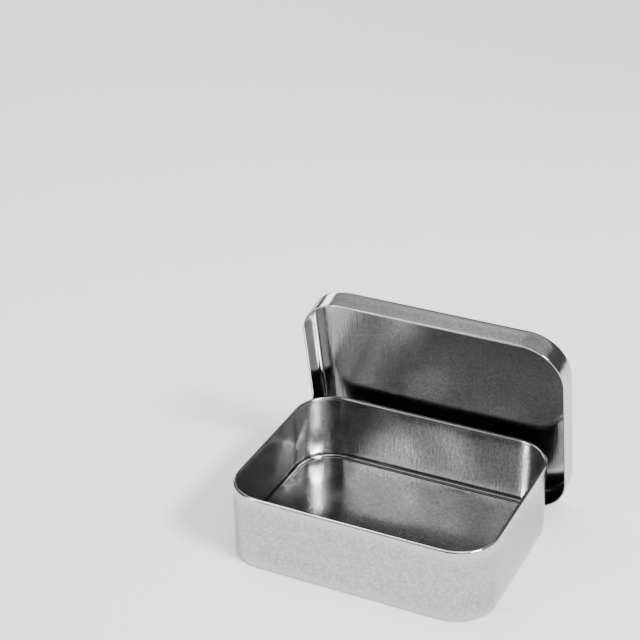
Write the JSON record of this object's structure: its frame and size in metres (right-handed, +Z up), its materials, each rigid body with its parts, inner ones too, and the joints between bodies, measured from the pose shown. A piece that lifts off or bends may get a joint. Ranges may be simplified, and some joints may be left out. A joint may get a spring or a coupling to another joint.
{
  "type": "slip-lid tin",
  "caption": "Small rectangular slip-lid tin of bare tinplate with rounded corners, standing open and empty, its lid leaning on its back.",
  "frame": {"origin": "on the surface that the tin stands on, under the middle of the tin and its leaning lid together", "axes": "+X along the tin's long side, +Y to the back, where the lid stands, +Z up"},
  "size_m": [0.1128, 0.0934, 0.0848],
  "materials": {
    "wall_band": "satin bare tinplate",
    "floor_panel": "satin bare tinplate",
    "lid": "satin bare tinplate"
  },
  "bodies": {
    "root": {"wall_band": "wall_band", "floor_panel": "floor_panel", "lid": "lid"}
  },
  "joints": []
}
